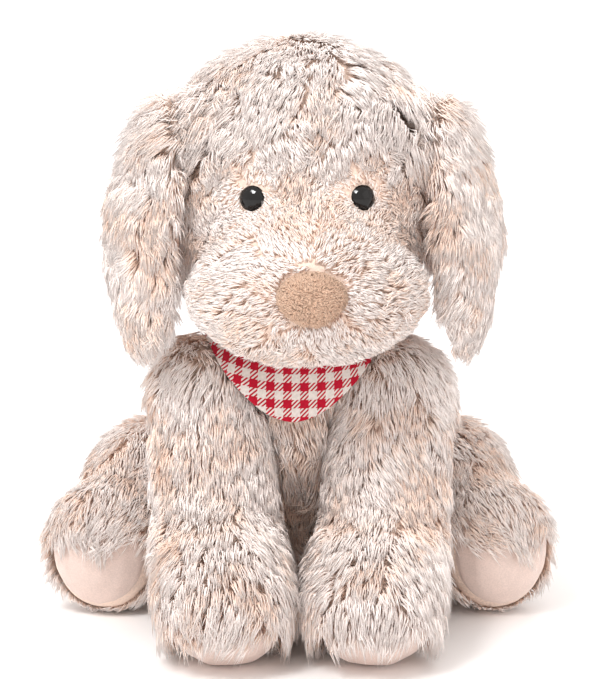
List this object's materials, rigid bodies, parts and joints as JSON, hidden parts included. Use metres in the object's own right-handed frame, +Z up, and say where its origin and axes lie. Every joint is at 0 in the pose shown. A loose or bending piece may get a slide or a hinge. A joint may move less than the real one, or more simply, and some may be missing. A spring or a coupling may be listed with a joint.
{
  "type": "plush dog",
  "caption": "Seated stuffed puppy with floppy ears, a wide soft muzzle, splayed hind feet and a checked neckerchief; head, ears, legs and tail move in their seams.",
  "frame": {"origin": "the middle of the underside of the puppy's box, on the surface it sits on", "axes": "+Z up, +Y from the muzzle to the tail, +X to the puppy's own left"},
  "size_m": [0.2134, 0.2066, 0.2449],
  "materials": {
    "cream_fur": "cream long-pile plush with tan roots",
    "pale_velour": "short velour, pale pink-tan",
    "nose_velour": "short velour, tan",
    "gingham_cotton": "red and white woven check",
    "eye_black": "polished black",
    "washer_plastic": "natural",
    "stuffing_fibre": "white polyester fibre",
    "pellet_cloth": "plain woven bag of pellets"
  },
  "bodies": {
    "torso": {"torso_shell": "cream_fur", "torso_stuffing": "stuffing_fibre", "pellet_bag": "pellet_cloth", "bandana_band": "gingham_cotton", "bandana_knot": "gingham_cotton"},
    "neck": {"neck_stuffing": "stuffing_fibre"},
    "head": {"head_shell": "cream_fur", "head_stuffing": "stuffing_fibre", "muzzle_shell": "cream_fur", "muzzle_stuffing": "stuffing_fibre", "nose_patch": "nose_velour", "eye_left": "eye_black", "eye_right": "eye_black", "eye_washer_left": "washer_plastic", "eye_washer_right": "washer_plastic"},
    "ear_left": {"ear_shell_left": "cream_fur", "ear_lining_left": "pale_velour"},
    "ear_right": {"ear_shell_right": "cream_fur", "ear_lining_right": "pale_velour"},
    "front_leg_left": {"front_leg_shell_left": "cream_fur", "front_leg_stuffing_left": "stuffing_fibre", "front_paw_sole_left": "pale_velour"},
    "front_leg_right": {"front_leg_shell_right": "cream_fur", "front_leg_stuffing_right": "stuffing_fibre", "front_paw_sole_right": "pale_velour"},
    "hind_leg_left": {"hind_leg_shell_left": "cream_fur", "hind_leg_stuffing_left": "stuffing_fibre", "hind_paw_sole_left": "pale_velour"},
    "hind_leg_right": {"hind_leg_shell_right": "cream_fur", "hind_leg_stuffing_right": "stuffing_fibre", "hind_paw_sole_right": "pale_velour"},
    "tail": {"tail_shell": "cream_fur", "tail_stuffing": "stuffing_fibre"},
    "bandana_flap": {"bandana_flap": "gingham_cotton"}
  },
  "joints": [
    {"name": "head_turn", "type": "hinge", "parent": "torso", "child": "neck", "pos_m": [0, 0.00387, 0.13], "axis": [0, 0, 1], "range_deg": [-12, 12], "stiffness_Nm_per_rad": 0.6},
    {"name": "head_nod", "type": "hinge", "parent": "neck", "child": "head", "pos_m": [0, 0.00387, 0.13], "axis": [1, 0, 0], "range_deg": [-12, 5], "stiffness_Nm_per_rad": 1.2},
    {"name": "ear_left_lift", "type": "hinge", "parent": "head", "child": "ear_left", "pos_m": [0.04727, -0.02664, 0.223], "axis": [0.3338, 0.9426, 0], "range_deg": [-60, 0]},
    {"name": "ear_right_lift", "type": "hinge", "parent": "head", "child": "ear_right", "pos_m": [-0.04443, -0.03065, 0.223], "axis": [-0.4147, 0.91, 0], "range_deg": [0, 60]},
    {"name": "front_leg_left_swing", "type": "hinge", "parent": "torso", "child": "front_leg_left", "pos_m": [0.038, -0.02013, 0.098], "axis": [1, 0, 0], "range_deg": [-20, 0], "stiffness_Nm_per_rad": 0.4},
    {"name": "front_leg_right_swing", "type": "hinge", "parent": "torso", "child": "front_leg_right", "pos_m": [-0.038, -0.02013, 0.098], "axis": [1, 0, 0], "range_deg": [-20, 0], "stiffness_Nm_per_rad": 0.4},
    {"name": "hind_leg_left_spread", "type": "hinge", "parent": "torso", "child": "hind_leg_left", "pos_m": [0.044, 0.06187, 0.04], "axis": [0, 0, 1], "range_deg": [0, 20], "stiffness_Nm_per_rad": 0.4},
    {"name": "hind_leg_right_spread", "type": "hinge", "parent": "torso", "child": "hind_leg_right", "pos_m": [-0.044, 0.06187, 0.04], "axis": [0, 0, 1], "range_deg": [-20, 0], "stiffness_Nm_per_rad": 0.4},
    {"name": "tail_wag", "type": "hinge", "parent": "torso", "child": "tail", "pos_m": [0, 0.08187, 0.03], "axis": [0, 0, 1], "range_deg": [-20, 20], "stiffness_Nm_per_rad": 0.05},
    {"name": "bandana_flap_lift", "type": "hinge", "parent": "torso", "child": "bandana_flap", "pos_m": [0, -0.0387, 0.121], "axis": [1, 0, 0], "range_deg": [-25, 0]}
  ]
}
